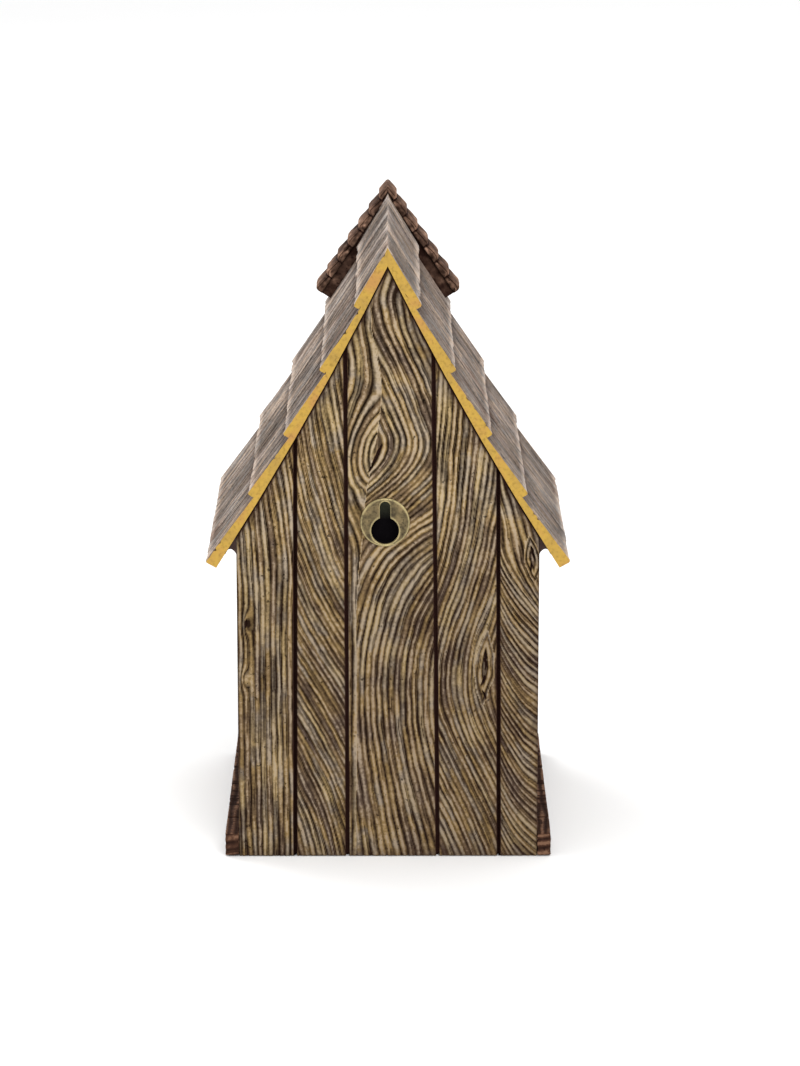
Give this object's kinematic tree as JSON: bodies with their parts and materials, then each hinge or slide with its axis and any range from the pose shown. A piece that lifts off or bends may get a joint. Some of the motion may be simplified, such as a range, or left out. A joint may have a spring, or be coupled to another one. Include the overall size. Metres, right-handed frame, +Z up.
{
  "type": "birdhouse",
  "caption": "Tall gabled birdhouse with board walls, lapped shingle roof, small ridge hood, round entrance, perch, keyhole hanger and a swing-out clean-out side.",
  "frame": {"origin": "on the ground, at the middle of the floor panel's underside, half way between the side walls", "axes": "+Z up, -Y out of the entrance at the front, +Y out of the back wall with the keyhole hanger, +X towards the side with the clean-out door"},
  "size_m": [0.145, 0.158, 0.2541],
  "materials": {
    "wall_wood": "carved grain, dark stain in the grain and dry-brushed olive gold on the ridges",
    "roof_shingle": "weathered grey-brown, with the gable ends painted ochre gold",
    "hood_shingle": "dark reddish brown stain with copper dry-brushed edges",
    "plinth_block": "dark reddish brown stain with worn edges",
    "deck_wood": "dark purple-brown stain, matt",
    "inner_wood": "plain sawn wood",
    "hanger_bronze": "aged olive-gold, worn bright at the rim",
    "trim_wood": "ochre gold paint over turned wood",
    "screw_steel": "dull, slightly rusted steel"
  },
  "bodies": {
    "house": {"back_board_1": "wall_wood", "back_board_2": "wall_wood", "back_board_3": "wall_wood", "back_board_4": "wall_wood", "back_board_5": "wall_wood", "corner_post_back_left": "wall_wood", "corner_post_back_right": "wall_wood", "corner_post_front_left": "wall_wood", "corner_post_front_right": "wall_wood", "door_header": "wall_wood", "door_pivot_pins": "screw_steel", "entrance_ring": "trim_wood", "floor_panel": "inner_wood", "front_board_1": "wall_wood", "front_board_2": "wall_wood", "front_board_3": "wall_wood", "front_board_4": "wall_wood", "front_board_5": "wall_wood", "hanger_plate": "hanger_bronze", "hood_course_left_1": "hood_shingle", "hood_course_left_2": "hood_shingle", "hood_course_left_3": "hood_shingle", "hood_course_left_4": "hood_shingle", "hood_course_left_5": "hood_shingle", "hood_course_left_6": "hood_shingle", "hood_course_right_1": "hood_shingle", "hood_course_right_2": "hood_shingle", "hood_course_right_3": "hood_shingle", "hood_course_right_4": "hood_shingle", "hood_course_right_5": "hood_shingle", "hood_course_right_6": "hood_shingle", "hood_deck_left": "deck_wood", "hood_deck_right": "deck_wood", "hood_ridge_cap": "hood_shingle", "left_board_1": "wall_wood", "left_board_2": "wall_wood", "left_board_3": "wall_wood", "perch": "trim_wood", "plinth_front": "plinth_block", "plinth_left": "plinth_block", "plinth_right": "plinth_block", "roof_course_left_1": "roof_shingle", "roof_course_left_2": "roof_shingle", "roof_course_left_3": "roof_shingle", "roof_course_left_4": "roof_shingle", "roof_course_left_5": "roof_shingle", "roof_course_right_1": "roof_shingle", "roof_course_right_2": "roof_shingle", "roof_course_right_3": "roof_shingle", "roof_course_right_4": "roof_shingle", "roof_course_right_5": "roof_shingle", "roof_deck_left": "deck_wood", "roof_deck_right": "deck_wood", "turn_button_screw": "screw_steel"},
    "door": {"door_batten_lower": "inner_wood", "door_batten_upper": "inner_wood", "door_board_1": "wall_wood", "door_board_2": "wall_wood", "door_board_3": "wall_wood"},
    "button": {"turn_button": "trim_wood"}
  },
  "joints": [
    {"name": "door_hinge", "type": "hinge", "parent": "house", "child": "door", "pos_m": [0.0547, 0.003, 0.112], "axis": [0, -1, 0], "range_deg": [0, 75]},
    {"name": "button_turn", "type": "hinge", "parent": "house", "child": "button", "pos_m": [0.0593, -0.05, 0.036], "axis": [-1, 0, 0], "range_deg": [0, 90]}
  ]
}
